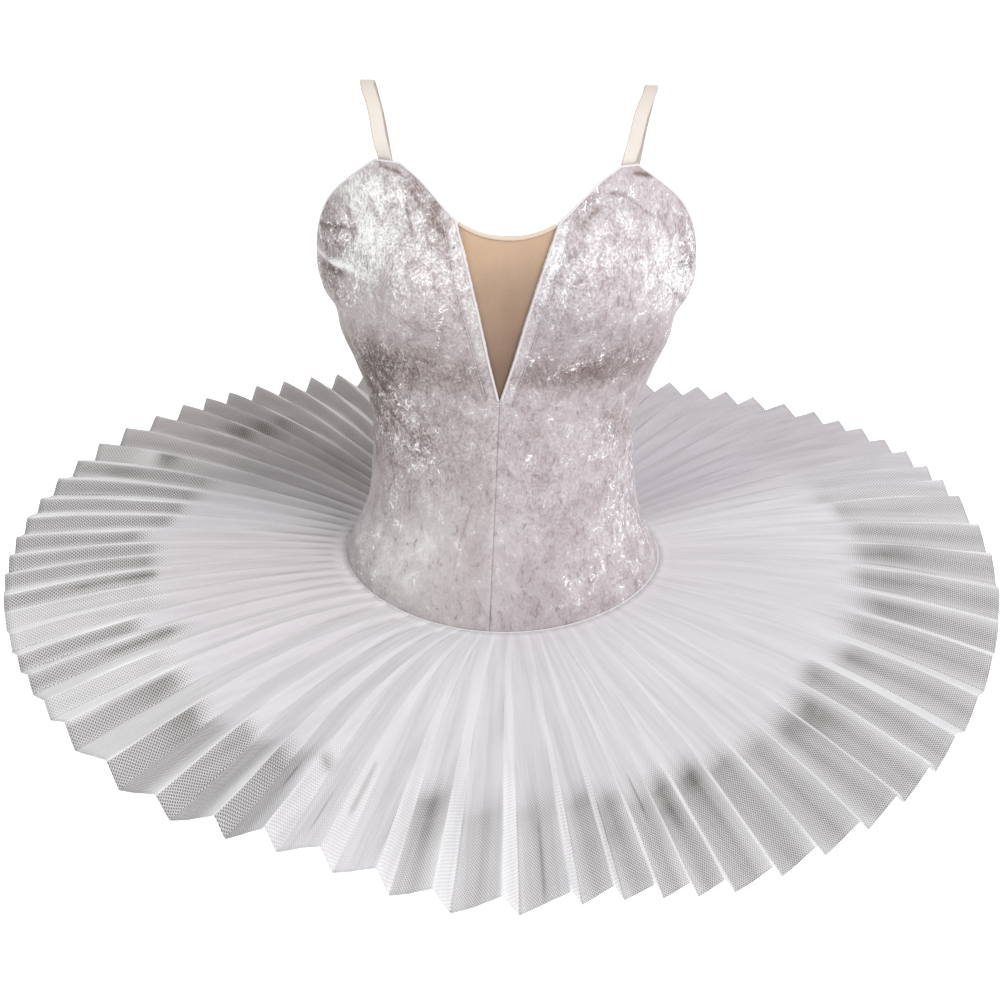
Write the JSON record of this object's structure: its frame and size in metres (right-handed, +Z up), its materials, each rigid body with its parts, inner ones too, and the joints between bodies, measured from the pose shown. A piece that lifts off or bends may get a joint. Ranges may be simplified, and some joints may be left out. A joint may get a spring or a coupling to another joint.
{
  "type": "ballet dress",
  "caption": "Ballet dress with a crushed velvet bodice, a sheer insert in its V neck, narrow elastic straps and a wide, flat skirt of pleated net over shorter net and a plain brief.",
  "frame": {"origin": "midway between the straps, where their undersides rest on the shoulders", "axes": "+Z up along the wearer's trunk, front of the dress towards -Y, the wearer's left towards +X"},
  "size_m": [0.944, 0.9001, 0.6641],
  "materials": {
    "velvet": "crushed velvet, silvery white with a soft sheen",
    "sheer": "fine matt mesh in a nude shade",
    "elastic": "woven elastic, cream",
    "net": "stiff white net"
  },
  "bodies": {
    "root": {"bodice_front_right": "velvet", "bodice_front_left": "velvet", "bodice_back": "velvet", "neck_insert": "sheer", "neck_insert_binding": "elastic", "strap_right": "elastic", "strap_left": "elastic", "brief": "velvet", "skirt_top": "net", "skirt_second": "net", "skirt_third": "net"}
  },
  "joints": []
}
